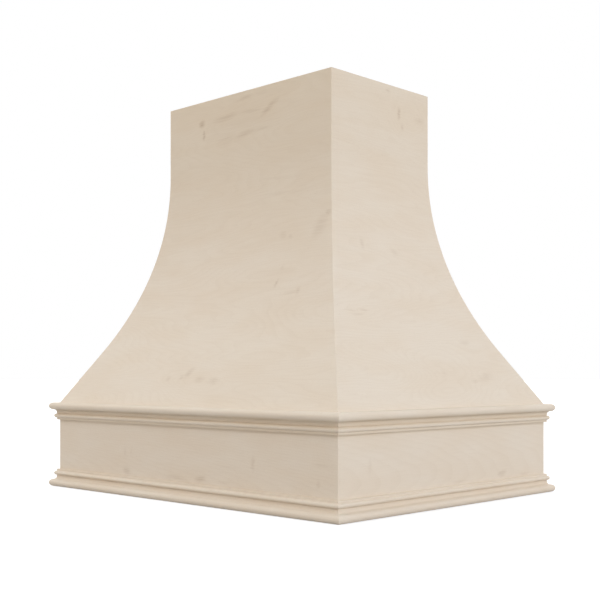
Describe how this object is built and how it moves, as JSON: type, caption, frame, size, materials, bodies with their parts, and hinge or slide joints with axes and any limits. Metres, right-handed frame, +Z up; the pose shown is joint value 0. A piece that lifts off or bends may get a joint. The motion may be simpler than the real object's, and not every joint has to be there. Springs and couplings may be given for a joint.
{
  "type": "range hood cover",
  "caption": "Unfinished wooden island range hood cover: curved faces flare from a plumb chimney to a square band with a bullnose and bead moulding round its top and foot.",
  "frame": {"origin": "middle of the foot, on the plane of the apron's bottom edge", "axes": "+Z up to the ceiling, -Y towards the front (a long face), +X to the right along the long faces"},
  "size_m": [0.9524, 0.7494, 0.9144],
  "materials": {
    "maple_veneered_plywood": "raw, sanded",
    "maple": "raw, sanded",
    "birch_plywood": "raw",
    "poplar": "raw, planed",
    "zinc_plated_steel": "zinc plated"
  },
  "bodies": {
    "root": {"front_skin": "maple_veneered_plywood", "front_apron": "maple", "front_upper_moulding": "maple", "front_lower_moulding": "maple", "front_nailer": "poplar", "front_belt_rail": "birch_plywood", "front_base_rail": "birch_plywood", "front_ledger": "poplar", "right_skin": "maple_veneered_plywood", "right_apron": "maple", "right_upper_moulding": "maple", "right_lower_moulding": "maple", "right_nailer": "poplar", "right_belt_rail": "birch_plywood", "right_base_rail": "birch_plywood", "right_ledger": "poplar", "back_skin": "maple_veneered_plywood", "back_apron": "maple", "back_upper_moulding": "maple", "back_lower_moulding": "maple", "back_nailer": "poplar", "back_belt_rail": "birch_plywood", "back_base_rail": "birch_plywood", "back_ledger": "poplar", "left_skin": "maple_veneered_plywood", "left_apron": "maple", "left_upper_moulding": "maple", "left_lower_moulding": "maple", "left_nailer": "poplar", "left_belt_rail": "birch_plywood", "left_base_rail": "birch_plywood", "left_ledger": "poplar", "front_left_hip_rib": "birch_plywood", "front_left_ceiling_block": "poplar", "front_left_apron_block": "poplar", "front_right_hip_rib": "birch_plywood", "front_right_ceiling_block": "poplar", "front_right_apron_block": "poplar", "back_left_hip_rib": "birch_plywood", "back_left_ceiling_block": "poplar", "back_left_apron_block": "poplar", "back_right_hip_rib": "birch_plywood", "back_right_ceiling_block": "poplar", "back_right_apron_block": "poplar", "front_left_rib": "birch_plywood", "front_right_rib": "birch_plywood", "back_left_rib": "birch_plywood", "back_right_rib": "birch_plywood", "left_rib": "birch_plywood", "right_rib": "birch_plywood", "ledger_screws": "zinc_plated_steel", "rib_foot_screws": "zinc_plated_steel", "rib_head_screws": "zinc_plated_steel", "block_screws": "zinc_plated_steel"}
  },
  "joints": []
}
